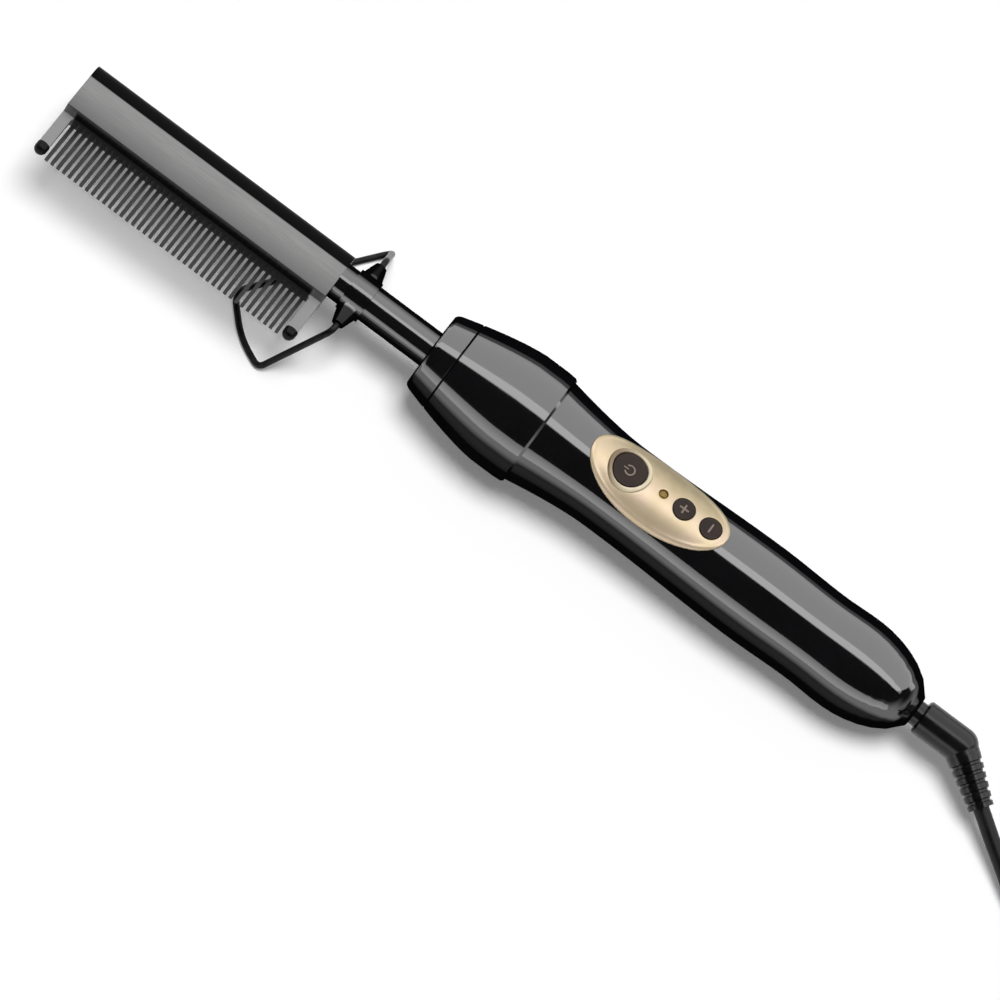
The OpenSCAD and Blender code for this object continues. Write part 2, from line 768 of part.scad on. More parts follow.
module circuit_board() {
    color([0.1, 0.35, 0.2]) posed() difference() {
        translate([board_from, -board_w / 2, board_z]) cube([board_to - board_from, board_w, board_t]);
        for (x = case_screw_x)
            translate([x, 0, board_z - 1]) cylinder(h = board_t + 2, r = boss_r + running_gap);
    }
}

// A tact switch on the board, with the round pin that its button pushes
module tact_switch(x) {
    color([0.15, 0.15, 0.16]) posed() translate([x, 0, board_top]) {
        translate([-switch_body / 2, -switch_body / 2, 0]) cube([switch_body, switch_body, switch_h]);
        cylinder(h = switch_h + switch_pin_h, r = switch_pin_r);
    }
}

module power_switch() tact_switch(power_x);
module plus_switch() tact_switch(plus_x);
module minus_switch() tact_switch(minus_x);

module triac() {
    color([0.1, 0.1, 0.1]) posed() translate([minus_x - 6.7, -5, board_z - seat_gap]) {
        translate([0, 0, -4.5]) cube([9, 10, 4.5]);
        translate([0, 0, -1.3]) cube([14, 10, 1.3]);
    }
}

module mains_fuse() {
    color([0.85, 0.85, 0.88]) posed() translate([0, 4.6, board_z - 2.7]) {
        along_x(power_x + 2, power_x + 17, 2.2);
        along_x(power_x, power_x + 4, 2.6);
        along_x(power_x + 15, power_x + 19, 2.6);
    }
}

module film_capacitor() {
    color([0.75, 0.62, 0.2]) posed()
        translate([power_x + 1, -8, board_z - seat_gap - 7]) cube([17, 7, 7]);
}

module mains_leads() {
    color([0.5, 0.35, 0.2]) posed() for (side = [-1, 1])
        translate([0, side * mains_lead_y, board_z - seat_gap - mains_lead_r])
            along_x(board_to - 2, holder_from, mains_lead_r);
}

module brush_slots(grow) {
    for (x = slip_x)
        translate([x + slip_len / 2 - brush_w / 2 - grow, -brush_w / 2 - grow, slip_r + brush_gap])
            cube([brush_w + 2 * grow, brush_w + 2 * grow,
                  holder_half - slip_r - brush_gap + (grow > 0 ? 1 : 0)]);
}

module brush_holder() {
    color([0.9, 0.88, 0.8]) posed() difference() {
        translate([holder_from, -holder_half, -holder_half])
            cube([holder_to - holder_from, 2 * holder_half, 2 * holder_half]);
        along_x(holder_from - 1, holder_to + 1, holder_bore);
        brush_slots(seat_gap);
    }
}

module contact_brushes() {
    color([0.72, 0.45, 0.2]) posed() brush_slots(0);
}

module slip_rings() {
    color([0.85, 0.65, 0.3]) posed()
        for (x = slip_x) ring_x(x, x + slip_len, slip_r, shaft_r + 0.01);
}

module aimed(v) {
    rotate([0, acos(v[2]), atan2(v[1], v[0])]) children();
}

module swivel_barrel() {
    color([0.06, 0.06, 0.06]) posed() {
        along_x(shaft_from, cavity_end - running_gap - 1, shaft_r);
        along_x(cavity_end - running_gap - 2.4, cavity_end - running_gap, flange_r);
        along_x(cavity_end - running_gap - 1, barrel_x + 1, bearing_r);
        lathe([[barrel_x, 0], [barrel_x, barrel_r - 0.7], [barrel_x + 0.6, barrel_r],
               [elbow_x, barrel_r], [elbow_x, 0]]);
        translate([elbow_x, 0, 0]) aimed(exit_dir) {
            cylinder(h = elbow_stub, r = boot_r);
            difference() {
                sphere(r = barrel_r);
                translate([0, 0, elbow_stub]) cylinder(h = barrel_r, r = barrel_r);
            }
        }
    }
}

module strain_relief() {
    ribs = 5;
    rib_pitch = (relief_len - 2) / ribs;
    rib_w = rib_pitch * 0.55;
    slim = 0.6;
    function boot_line(s) = boot_r + (boot_tip_r - boot_r) * s / relief_len;
    color([0.06, 0.06, 0.06]) posed() translate([elbow_x, 0, 0]) aimed(exit_dir)
        translate([0, 0, elbow_stub]) rotate_extrude()
            polygon(concat([[0, seat_gap], [boot_r, seat_gap]],
                           [for (i = [0:ribs - 1]) let (s = 0.6 + i * rib_pitch)
                            each [[boot_line(s + rib_w), s + rib_w],
                                  [boot_line(s + rib_w) - slim, s + rib_w + 0.3],
                                  [boot_line(s + rib_pitch) - slim, s + rib_pitch - 0.3],
                                  [boot_line(s + rib_pitch), s + rib_pitch]]],
                           [[boot_tip_r, relief_len], [0, relief_len]]));
}

module stand_clip() {
    color([0.05, 0.05, 0.05]) posed() difference() {
        union() {
            along_x(pivot_x - clip_len / 2, pivot_x + clip_len / 2, neck_r + clip_wall);
            for (side = [-1, 1]) translate([pivot_x, side * neck_r, 0]) rotate([-90 * side, 0, 0])
                cylinder(h = lug_out - neck_r, r1 = lug_base_r, r2 = lug_tip_r);
        }
        along_x(pivot_x - clip_len, pivot_x + clip_len, neck_r + seat_gap);
        translate([pivot_x, lug_out + 1, 0]) rotate([90, 0, 0])
            cylinder(h = 2 * lug_out + 2, r = wire_r + pivot_gap);
    }
}

module stand_wire() {
    color([0.25, 0.25, 0.25]) translate(placed([pivot_x, 0, 0])) {
        tube(wire_path, wire_flat_r, wire_sides);
        for (side = [-1, 1]) translate([0, side * lug_in, 0]) rotate([-90 * side, 0, 0])
            cylinder(h = pin_end - lug_in, r = wire_r);
    }
}

module cord_lead() {
    color([0.07, 0.07, 0.07]) tube(lead_path, cord_r, 8);
}

module cord_coil() {
    color([0.07, 0.07, 0.07]) tube(coil_path, cord_r, 6);
}

module cord_tie() {
    low_r = coil_out_r - wind_pitch * layer_turns - cord_r - tie_gap;
    high_r = coil_out_r + cord_r + tie_gap;
    low_z = coil_h - cord_r - tie_gap;
    high_z = top_h + cord_r + tie_gap;
    color([0.1, 0.1, 0.1]) translate([coil_c[0], coil_c[1], 0]) rotate([0, 0, coil_turn - 90 + tie_angle])
        rotate([90, 0, 0]) linear_extrude(tie_w, center = true) difference() {
            translate([low_r - tie_t, low_z - tie_t])
                square([high_r - low_r + 2 * tie_t, high_z - low_z + 2 * tie_t]);
            translate([low_r, low_z]) square([high_r - low_r, high_z - low_z]);
        }
}

module plugged() {
    translate(plug_start) rotate([0, 0, coil_turn + over_turn]) children();
}

module blades(grow) {
    for (side = [-1, 1])
        translate([plug_face - blade_root - grow, side * blade_spacing / 2 - blade_t / 2 - grow,
                   -blade_w / 2 - grow])
            cube([blade_root + blade_len + grow, blade_t + 2 * grow, blade_w + 2 * grow]);
}

module plug_body() {
    taper = 5;
    color([0.07, 0.07, 0.07]) plugged() difference() {
        union() {
            cone_x(0, plug_relief_len + 1, boot_tip_r, plug_relief_r);
            intersection() {
                translate([0, 0, -plug_t / 2]) linear_extrude(plug_t)
                    polygon([[plug_relief_len, -plug_w / 2 + taper], [plug_relief_len + taper, -plug_w / 2],
                             [plug_face, -plug_w / 2], [plug_face, plug_w / 2],
                             [plug_relief_len + taper, plug_w / 2], [plug_relief_len, plug_w / 2 - taper]]);
                rotate([90, 0, 0]) linear_extrude(plug_w, center = true)
                    polygon([[plug_relief_len, -plug_t / 2 + 2], [plug_relief_len + taper, -plug_t / 2],
                             [plug_face, -plug_t / 2], [plug_face, plug_t / 2],
                             [plug_relief_len + taper, plug_t / 2], [plug_relief_len, plug_t / 2 - 2]]);
            }
        }
        blades(seat_gap);
    }
}

module plug_blades() {
    color([0.8, 0.72, 0.5]) plugged() difference() {
        blades(0);
        translate([plug_face + blade_hole_back, plug_w, 0]) rotate([90, 0, 0])
            cylinder(h = 2 * plug_w, r = blade_hole_r);
    }
}

comb_body();
guard_tips();
heater_cartridge();
temperature_probe();
heater_leads();
neck_tube();
neck_mount();
mount_screws();
stand_clip();
stand_wire();
nose_ring();
nose_collar();
upper_shell();
lower_shell();
case_screws();
control_plate();
power_ring();
power_button();
plus_button();
minus_button();
status_lamp();
circuit_board();
power_switch();
plus_switch();
minus_switch();
triac();
mains_fuse();
film_capacitor();
mains_leads();
brush_holder();
contact_brushes();
slip_rings();
swivel_barrel();
strain_relief();
cord_lead();
cord_coil();
cord_tie();
plug_body();
plug_blades();
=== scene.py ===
"""Looks of the electric hot comb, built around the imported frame.

Tool frame: millimetres, X along the tool from the comb's tip, Y to the comb's back, Z out of the buttons.
place() turns a point of it into the row frame, in metres.
"""

import json
import math

import bpy
from mathutils import Matrix, Vector
from mathutils.geometry import delaunay_2d_cdt

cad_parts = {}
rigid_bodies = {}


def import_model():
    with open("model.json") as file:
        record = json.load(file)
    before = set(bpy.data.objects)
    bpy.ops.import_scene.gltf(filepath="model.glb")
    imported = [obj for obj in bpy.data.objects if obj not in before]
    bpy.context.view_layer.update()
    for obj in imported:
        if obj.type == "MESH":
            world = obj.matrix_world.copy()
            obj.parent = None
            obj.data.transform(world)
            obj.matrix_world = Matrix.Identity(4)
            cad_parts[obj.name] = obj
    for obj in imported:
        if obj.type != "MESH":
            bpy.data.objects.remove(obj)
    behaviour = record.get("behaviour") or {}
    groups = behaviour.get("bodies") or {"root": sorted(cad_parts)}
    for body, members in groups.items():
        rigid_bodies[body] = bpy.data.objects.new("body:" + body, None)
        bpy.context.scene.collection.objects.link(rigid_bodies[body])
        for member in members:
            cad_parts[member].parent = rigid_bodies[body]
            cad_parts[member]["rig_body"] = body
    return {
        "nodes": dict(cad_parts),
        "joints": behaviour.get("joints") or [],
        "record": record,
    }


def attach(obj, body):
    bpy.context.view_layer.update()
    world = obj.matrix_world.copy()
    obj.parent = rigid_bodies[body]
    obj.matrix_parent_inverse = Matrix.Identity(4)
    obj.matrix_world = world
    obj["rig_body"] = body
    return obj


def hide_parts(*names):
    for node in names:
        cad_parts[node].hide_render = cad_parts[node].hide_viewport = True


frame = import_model()
for leftover in [o for o in bpy.data.objects if o.name in ("Cube", "Light", "Camera")]:
    bpy.data.objects.remove(leftover)
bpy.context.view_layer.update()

# ---------------------------------------------------------------- dimensions

# Millimetres. A name that the part's source has too stands for the same size here.
MM = 0.001
COMB_LEN = 96.0
GUARD_FROM = COMB_LEN / 2 - 4
FACE_SHADE_Y = -5.25
ROOT_LINE_Y = -9.85
TEETH_SHADE_Y = -16.0
SPINE_LINE_Y = 2.3
NOSE_X = 130.8
SEAM_X = 171.6
TAIL_X = 312.0
NOSE_R = 13.0
BULGE_R = 19.3
BULGE_FROM = SEAM_X - 11.6
SHOULDER_R = 17.9
WAIST_FROM = SEAM_X + 26.4
WAIST_TO = SEAM_X + 33.4
WAIST_R = 14.75
PALM_X = SEAM_X + 80.4
PALM_R = 15.75
TAIL_SWELL_X = TAIL_X - 25
DIP_X = (PALM_X + TAIL_SWELL_X) / 2 + 5.5
DIP_R = 15.15
TAIL_R = 15.6
TAIL_CAP_LEN = 26.5

PLATE_FROM = SEAM_X + 14.7
PLATE_LEN = 49.5
PLATE_W = 22.2
PLATE_POWER = 2.2
PLATE_PROUD = 0.5
PLATE_DEPTH = 1.4
POWER_X = SEAM_X + 28.4
LAMP_X = POWER_X + 12.3
PLUS_X = POWER_X + 19.9
MINUS_X = POWER_X + 29.7
POWER_R = 5.5
STEP_R = 3.5
POWER_DISH = 0.9
STEP_DISH = 0.15
LAMP_R = 1.35
LAMP_TOP = -0.15
LAMP_DOME = 0.6
LAMP_DEPTH = 4.5
RING_R = 7.0
RING_RISE = 0.55
RING_EDGE = 0.5
RING_INNER_EDGE = 0.45
BUTTON_GAP = 0.15
RING_GAP = 0.05
PLATE_GAP = 0.05
FLANGE_Z = 9.5
FLANGE_T = 1.0
FLANGE_OUT = 0.8
STEM_R = 1.5
STEM_Z = 7.55

WIRE_R = 1.05
STAND_HALF_W = 29.4
STAND_LEAD = 6.8
STAND_SKEW = 5.5
LOOP_REACH = 32.2
LOOP_SIDE = 13.0
LOOP_BOW = 2.5
LUG_IN = 6.8
PIN_END = 12.8
SHOULDER_Y = 15.0
PIN_BEND = 1.8
CORNER_BEND_R = 3
BOW_AT = 0.4
BOW_BEND_R = 30
FRONT_BEND_R = 6

SWIVEL_TO_ELBOW = 16.5
ELBOW = math.radians(35)
ELBOW_ROLL = math.radians(20)
ELBOW_TO_CORD = 20
CORD_R = 2.5
CORD_D = 2 * CORD_R
COIL_H = 3.5
COIL_TURN = -34.0
COIL_START = Vector((222, -45, COIL_H))
LAYER_TURNS = 2.5
COIL_LAYERS = 4
COIL_MID_R = 26.9
WIND_PITCH = 5.5
OVER_R = 24.0
OVER_TURN = 130.0
RISE_FROM = -40.0
RISE_TO = 110.0
PLUG_T = 15.0
RUNNING_GAP = 0.3
TURN_STEPS = 48
OVER_STEPS = 20

joint = {j["name"]: j for j in frame["joints"]}
ALONG = Vector(joint["cord_swivel"]["axis"]).normalized()
UP = -Vector(joint["power_press"]["axis"]).normalized()
SIDE = UP.cross(ALONG)
ORIGIN = Vector(joint["cord_swivel"]["pos_m"]) - TAIL_X * MM * ALONG
PIVOT = Vector(joint["stand_fold"]["pos_m"]) / MM


def place(x, y=0.0, z=0.0):
    """A point of the tool frame, in the row frame."""
    return ORIGIN + MM * (x * ALONG + y * SIDE + z * UP)


def tool_point(v):
    """A point of the row frame, in the tool frame."""
    d = (v - ORIGIN) / MM
    return Vector((d.dot(ALONG), d.dot(SIDE), d.dot(UP)))


def clamp01(t):
    return min(1.0, max(0.0, t))


def eased(t):
    c = clamp01(t)
    return c * c * (3 - 2 * c)


def blend(a, b, t):
    return a + (b - a) * eased(t)


def nose_radius(x):
    """Outer radius of the nose ring and the collar."""
    share = clamp01((BULGE_FROM - x) / (BULGE_FROM - NOSE_X))
    return BULGE_R - (BULGE_R - NOSE_R) * share**1.4


def shell_radius(x):
    """Outer radius of the two long shells."""
    if x < WAIST_FROM:
        return WAIST_R + (SHOULDER_R - WAIST_R) * ((WAIST_FROM - x) / (WAIST_FROM - SEAM_X)) ** 1.5
    if x < PALM_X:
        return blend(WAIST_R, PALM_R, (x - WAIST_TO) / (PALM_X - WAIST_TO))
    if x < DIP_X:
        return blend(PALM_R, DIP_R, (x - PALM_X) / (DIP_X - PALM_X))
    if x < TAIL_SWELL_X:
        return blend(DIP_R, TAIL_R, (x - DIP_X) / (TAIL_SWELL_X - DIP_X))
    return TAIL_R * math.sqrt(max(0.0, 1 - ((x - TAIL_SWELL_X) / TAIL_CAP_LEN) ** 2))


# ---------------------------------------------------------------- camera

VIEW_TILT = math.radians(27)
VIEW_ROLL = math.radians(36.8)
VIEW_X = 174.3
VIEW_P = -23.76
VIEW_WIDTH = 0.300
VIEW_DISTANCE = 2.0
SENSOR = 36.0


def make_camera():
    across = math.cos(VIEW_TILT) * SIDE + math.sin(VIEW_TILT) * UP
    back = math.cos(VIEW_TILT) * UP - math.sin(VIEW_TILT) * SIDE
    right = math.cos(VIEW_ROLL) * ALONG + math.sin(VIEW_ROLL) * across
    up = math.cos(VIEW_ROLL) * across - math.sin(VIEW_ROLL) * ALONG
    target = place(VIEW_X) + VIEW_P * MM * across
    data = bpy.data.cameras.new("view")
    data.sensor_width = SENSOR
    data.lens = SENSOR * VIEW_DISTANCE / VIEW_WIDTH
    data.clip_end = 50
    camera = bpy.data.objects.new("view", data)
    turn = Matrix((right, up, back)).transposed().to_4x4()
    camera.matrix_world = Matrix.Translation(target + VIEW_DISTANCE * back) @ turn
    bpy.context.scene.collection.objects.link(camera)
    bpy.context.scene.camera = camera


make_camera()

# ---------------------------------------------------------------- materials


def add(tree, kind, inputs=None, **settings):
    """A shader node with its settings, and its inputs by name or number: values, or sockets to link."""
    made = tree.nodes.new("ShaderNode" + kind)
    for key, value in settings.items():
        setattr(made, key, value)
    for key, value in (inputs or {}).items():
        if isinstance(value, bpy.types.NodeSocket):
            tree.links.new(value, made.inputs[key])
        else:
            made.inputs[key].default_value = value
    return made


def noise(tree, where, scale, detail=4.0):
    inputs = {"Vector": where, "Scale": scale, "Detail": detail, "Roughness": 0.55}
    return add(tree, "TexNoise", inputs).outputs["Fac"]


def spread(tree, value, low, high, start=0.3, end=0.7):
    """A value from start to end, mapped to low to high."""
    inputs = {"Value": value, "From Min": start, "From Max": end, "To Min": low, "To Max": high}
    return add(tree, "MapRange", inputs).outputs["Result"]


def math_node(tree, operation, *values):
    return add(tree, "Math", dict(enumerate(values)), operation=operation).outputs[0]


def axis(tree, vector, name):
    """The X, Y or Z of a vector."""
    return add(tree, "SeparateXYZ", {0: vector}).outputs[name]


def grey(value):
    return (value, value, value)


def mixed(tree, share, a, b):
    """Colour a where share is 0 and b where it is 1; each is a socket or (r, g, b)."""
    a, b = [c if isinstance(c, bpy.types.NodeSocket) else (*c, 1.0) for c in (a, b)]
    return add(tree, "Mix", {0: share, 6: a, 7: b}, data_type="RGBA").outputs[2]


def clouded(tree, cloud, low, high):
    """A colour that wanders between low and high with a noise."""
    return mixed(tree, spread(tree, cloud, 0, 1), low, high)


def surface(name, build):
    """A material whose Principled shader is set up by build(tree, shader, object coordinates)."""
    made = bpy.data.materials.new(name)
    made.use_nodes = True
    tree = made.node_tree
    shader = tree.nodes["Principled BSDF"]
    build(tree, shader, add(tree, "TexCoord").outputs["Object"])
    return made


def stretched(tree, where, scale):
    return add(tree, "Mapping", {"Vector": where, "Scale": scale}).outputs["Vector"]


def wire_up(tree, shader, **links):
    """Links sockets to the shader's inputs, whose names have _ for a space."""
    for key, value in links.items():
        tree.links.new(value, shader.inputs[key.replace("_", " ")])


def constants(shader, **values):
    for key, value in values.items():
        shader.inputs[key.replace("_", " ")].default_value = value


def bumped(tree, shader, height, distance, strength=1.0):
    made = add(tree, "Bump", {"Height": height, "Distance": distance, "Strength": strength})
    wire_up(tree, shader, Normal=made.outputs["Normal"])


# The gloss shows the panels over the tool and behind it. This is the way to the middle of them; a surface
# that faces more than a right angle off it is the flank under the teeth.
PANELS_WAY = (0, 0.423, 0.906)
OFF_PANELS = (-0.087, 0.017)
FLANK_GLOSS = 0.08


def gloss_black(tint, low_rough, high_rough, fade_from, fade_to, polish_half_w=1.0):
    """High-gloss black: duller on the flank under the teeth, where it turns away and past polish_half_w."""

    def build(tree, shader, where):
        cloud = noise(tree, where, 90.0)
        grain = noise(tree, where, 2600.0, 2.0)
        normal = add(tree, "NewGeometry").outputs["Normal"]
        to_panels = add(tree, "VectorMath", {0: normal, 1: PANELS_WAY}, operation="DOT_PRODUCT")
        top = spread(tree, to_panels.outputs["Value"], FLANK_GLOSS, 1.0, *OFF_PANELS)
        facing = add(tree, "LayerWeight", {"Blend": 0.5}).outputs["Facing"]
        turned_away = spread(tree, facing, 1.0, 0.0, fade_from, fade_to)
        off_middle = math_node(tree, "ABSOLUTE", axis(tree, where, "Y"))
        polish = spread(tree, off_middle, 1.0, 0.1, polish_half_w, polish_half_w + 0.0006)
        shine = math_node(tree, "MULTIPLY", math_node(tree, "MULTIPLY", top, turned_away), polish)
        wire_up(tree, shader, Base_Color=clouded(tree, cloud, tint, [1.5 * c for c in tint]))
        wire_up(tree, shader, Specular_IOR_Level=shine, Roughness=spread(tree, cloud, low_rough, high_rough))
        constants(shader, IOR=1.62)
        bumped(tree, shader, grain, 0.000004, 0.35)

    return build


def comb_metal(tree, shader, where):
    """Satin ground metal with streaks along the comb; painted shade darkens the face towards the teeth and
    darkens the teeth, most at their roots, and the round back is painted black as a painted dark reflection.
    """

    def past(value, middle, half, low=0, high=1):
        """From low to high across a soft border, given in millimetres."""
        return spread(tree, value, low, high, (middle - half) * MM, (middle + half) * MM)

    streak = noise(tree, stretched(tree, where, (60, 2600, 2600)), 1.0, 3.0)
    y = axis(tree, where, "Y")
    comb_middle = (place(0).x + place(COMB_LEN).x) / 2
    along = math_node(tree, "SUBTRACT", axis(tree, where, "X"), comb_middle)
    from_middle = math_node(tree, "ABSOLUTE", along)
    face = clouded(tree, streak, grey(0.15), (0.19, 0.19, 0.187))
    # Painted shade: the face grows darker towards the teeth.
    face = mixed(tree, past(y, FACE_SHADE_Y, 4.25, 1, 0), face, grey(0.10))
    # Painted shade between the teeth: the teeth are dark and darkest at their roots; the guard teeth at the
    # ends keep a face-like grey.
    shaded_teeth = mixed(tree, past(y, TEETH_SHADE_Y, 2.5), grey(0.032), grey(0.007))
    shaded_teeth = mixed(tree, past(from_middle, GUARD_FROM, 0.3), shaded_teeth, grey(0.17))
    toothed = mixed(tree, past(y, ROOT_LINE_Y, 0.25, 1, 0), face, shaded_teeth)
    # Painted dark reflection: along the round back the metal is painted black, with no metal and little
    # gloss.
    painted_black_back = past(y, SPINE_LINE_Y, 0.2)
    cloudy = spread(tree, noise(tree, where, 70.0), 0.36, 0.44)
    rough = math_node(tree, "ADD", cloudy, spread(tree, streak, -0.03, 0.03))
    wire_up(tree, shader, Base_Color=mixed(tree, painted_black_back, toothed, grey(0.002)), Roughness=rough)
    wire_up(tree, shader, Metallic=spread(tree, painted_black_back, 0.8, 0.0, 0, 1))
    wire_up(tree, shader, Specular_IOR_Level=spread(tree, painted_black_back, 0.12, 0.03, 0, 1))
    bumped(tree, shader, streak, 0.00001, 0.5)


def metal(low, high, rough, metallic=1.0, specular=0.5):
    """Bright or dark bare metal with a fine, uneven grain."""

    def build(tree, shader, where):
        cloud = noise(tree, where, 400.0)
        roughness = spread(tree, cloud, rough - 0.06, rough + 0.06)
        wire_up(tree, shader, Base_Color=clouded(tree, cloud, low, high), Roughness=roughness)
        constants(shader, Metallic=metallic, Specular_IOR_Level=specular)
        bumped(tree, shader, noise(tree, where, 2000.0, 2.0), 0.000008, 0.4)

    return build


def plastic(low, high, rough, grain_scale=1800.0, specular=0.5):
    """Moulded or dipped material with a fine grain."""

    def build(tree, shader, where):
        cloud = noise(tree, where, 140.0)
        roughness = spread(tree, cloud, rough - 0.05, rough + 0.05)
        wire_up(tree, shader, Base_Color=clouded(tree, cloud, low, high), Roughness=roughness)
        constants(shader, Specular_IOR_Level=specular)
        bumped(tree, shader, noise(tree, where, grain_scale, 2.0), 0.00002, 0.6)

    return build


def plate_gold(tree, shader, where):
    """Champagne gold: fine sparkle in a satin metallic finish, with painted shade turning it dark brown
    where it turns to the back.
    """
    sparkle = noise(tree, where, 5200.0, 2.0)
    cloud = noise(tree, where, 160.0)
    to_back = axis(tree, add(tree, "NewGeometry").outputs["Normal"], "Y")
    # Painted shade: a lit and a shaded copy of the gold, mixed by how far the surface turns to the back.
    light = clouded(tree, cloud, (0.56, 0.455, 0.28), (0.635, 0.50, 0.37))
    dark = clouded(tree, cloud, (0.17, 0.135, 0.06), (0.25, 0.21, 0.11))
    base = mixed(tree, spread(tree, to_back, 0, 1, -0.15, 0.7), light, dark)
    wire_up(tree, shader, Base_Color=base, Roughness=spread(tree, sparkle, 0.36, 0.48))
    constants(shader, Metallic=0.45)
    bumped(tree, shader, sparkle, 0.00001, 0.5)


def ring_cream(tree, shader, where):
    """Pearl cream, with painted shade turning it dark brown towards the comb."""
    grain = noise(tree, where, 1500.0, 2.0)
    middle = place(POWER_X).x
    share = spread(tree, axis(tree, where, "X"), 0, 1, middle - 5.5 * MM, middle + 3.5 * MM)
    # Painted shade: dark brown on the side towards the comb, the ring's cream on the other.
    base = mixed(tree, share, (0.22, 0.15, 0.08), (0.74, 0.65, 0.46))
    wire_up(tree, shader, Base_Color=base, Roughness=spread(tree, grain, 0.22, 0.30))
    bumped(tree, shader, grain, 0.00001, 0.4)


FINISHES = {
    "comb_metal": comb_metal,
    "bead_black": plastic(grey(0.002), grey(0.005), 0.3, specular=0.12),
    "heater_ceramic": plastic((0.70, 0.68, 0.62), (0.80, 0.78, 0.72), 0.6),
    "probe_glass": plastic((0.72, 0.70, 0.62), (0.82, 0.80, 0.74), 0.3),
    "lead_sleeve": plastic((0.74, 0.70, 0.60), (0.86, 0.83, 0.75), 0.7, 3000.0),
    "neck_enamel": gloss_black(grey(0.003), 0.06, 0.11, 0.20, 0.42),
    "mount_moulding": plastic((0.14, 0.07, 0.03), (0.18, 0.09, 0.04), 0.5),
    "screw_steel": metal((0.50, 0.50, 0.52), (0.66, 0.66, 0.68), 0.3),
    "clip_enamel": gloss_black(grey(0.002), 0.08, 0.14, 0.16, 0.34, 0.0066),
    "wire_steel": metal(grey(0.010), grey(0.022), 0.33, 0.9, 0.2),
    "shell_gloss": gloss_black((0.0025, 0.0025, 0.003), 0.045, 0.085, 0.33, 0.47),
    "plate_gold": plate_gold,
    "ring_cream": ring_cream,
    "button_dark": plastic((0.014, 0.007, 0.004), (0.026, 0.013, 0.008), 0.25, specular=0.2),
    "lamp_amber": plastic((0.20, 0.115, 0.006), (0.28, 0.165, 0.012), 0.12, specular=0.4),
    "board_green": plastic((0.01, 0.10, 0.04), (0.02, 0.14, 0.06), 0.4),
    "switch_black": plastic(grey(0.010), grey(0.020), 0.45),
    "component_black": plastic(grey(0.008), grey(0.016), 0.5),
    "fuse_metal": metal((0.60, 0.60, 0.62), (0.72, 0.72, 0.74), 0.2),
    "capacitor_yellow": plastic((0.50, 0.32, 0.03), (0.60, 0.40, 0.05), 0.35),
    "lead_brown": plastic((0.10, 0.04, 0.015), (0.15, 0.07, 0.025), 0.45),
    "holder_nylon": plastic((0.72, 0.70, 0.60), (0.80, 0.78, 0.68), 0.45),
    "brush_copper": metal((0.55, 0.25, 0.11), (0.68, 0.34, 0.16), 0.3),
    "ring_brass": metal((0.62, 0.42, 0.13), (0.74, 0.52, 0.20), 0.22),
    "swivel_black": plastic(grey(0.003), grey(0.006), 0.2, specular=0.34),
    "cord_black": plastic(grey(0.003), grey(0.007), 0.38, specular=0.2),
    "blade_brass": metal((0.62, 0.54, 0.34), (0.74, 0.66, 0.44), 0.25),
    "mark_pale": plastic((0.20, 0.15, 0.12), (0.27, 0.21, 0.17), 0.4),
}
MATERIALS = {name: surface(name, finish) for name, finish in FINISHES.items()}

# ---------------------------------------------------------------- pieces

slot_of = {s["node"]: s["material_slot"] for s in frame["record"]["subparts"]}
SHARP_ANGLE = math.radians(35)


def shade(mesh):
    """Smooth shading, with edges sharper than SHARP_ANGLE kept sharp."""
    for polygon in mesh.polygons:
        polygon.use_smooth = True
    mesh.set_sharp_from_angle(angle=SHARP_ANGLE)


def dress(piece, body, slot, replaced=()):
    """Gives a new piece its material and its body, and hides the CAD nodes that it stands for."""
    bpy.context.scene.collection.objects.link(piece)
    piece.data.materials.clear()
    piece.data.materials.append(MATERIALS[slot])
    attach(piece, body)
    if replaced:
        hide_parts(*replaced)
    return piece


def mesh_piece(name, points, faces, body, slot, replaced=()):
    """A piece from points of the tool frame."""
    mesh = bpy.data.meshes.new(name)
    mesh.from_pydata([place(*p) for p in points], [], faces)
    mesh.validate()
    mesh.update()
    shade(mesh)
    return dress(bpy.data.objects.new(name, mesh), body, slot, replaced)


def curve_piece(name, points, radius, body, slot, replaced=()):
    """A round wire or cord along points in metres."""
    data = bpy.data.curves.new(name, "CURVE")
    data.dimensions = "3D"
    data.bevel_depth = radius
    data.bevel_resolution = 6
    data.use_fill_caps = True
    spline = data.splines.new("POLY")
    spline.points.add(len(points) - 1)
    for target, point in zip(spline.points, points):
        target.co = (*point, 1.0)
    return dress(bpy.data.objects.new(name, data), body, slot, replaced)


def smooth_route(points, step):
    """Catmull-Rom points through a list, about one step apart."""
    padded = [2 * points[0] - points[1], *points, 2 * points[-1] - points[-2]]
    route = []
    for a, b, c, d in zip(padded, padded[1:], padded[2:], padded[3:]):
        count = max(1, round((c - b).length / step))
        for i in range(count):
            t = i / count
            square = (2 * a - 5 * b + 4 * c - d) * t**2
            cube = (3 * b - a - 3 * c + d) * t**3
            route.append(0.5 * (2 * b + (c - a) * t + square + cube))
    return [*route, points[-1]]


# ---------------------------------------------------------------- cord


def turned(angle):
    a = math.radians(COIL_TURN + angle)
    return Vector((math.sin(a), -math.cos(a), 0))


coil_heading = Vector((math.cos(math.radians(COIL_TURN)), math.sin(math.radians(COIL_TURN)), 0))
coil_out_r = COIL_MID_R + WIND_PITCH * LAYER_TURNS / 2
coil_turns = COIL_LAYERS * LAYER_TURNS
coil_centre = COIL_START + CORD_D * coil_heading - coil_out_r * turned(0)
top_h = COIL_H + (COIL_LAYERS - 1) * WIND_PITCH
plug_h = top_h + CORD_R + PLUG_T / 2 + RUNNING_GAP
plug_turn = math.radians(COIL_TURN + OVER_TURN)
plug_dir = Vector((math.cos(plug_turn), math.sin(plug_turn), 0))


def last_rise(angle):
    return (plug_h - top_h) * eased((angle - RISE_FROM) / (RISE_TO - RISE_FROM))


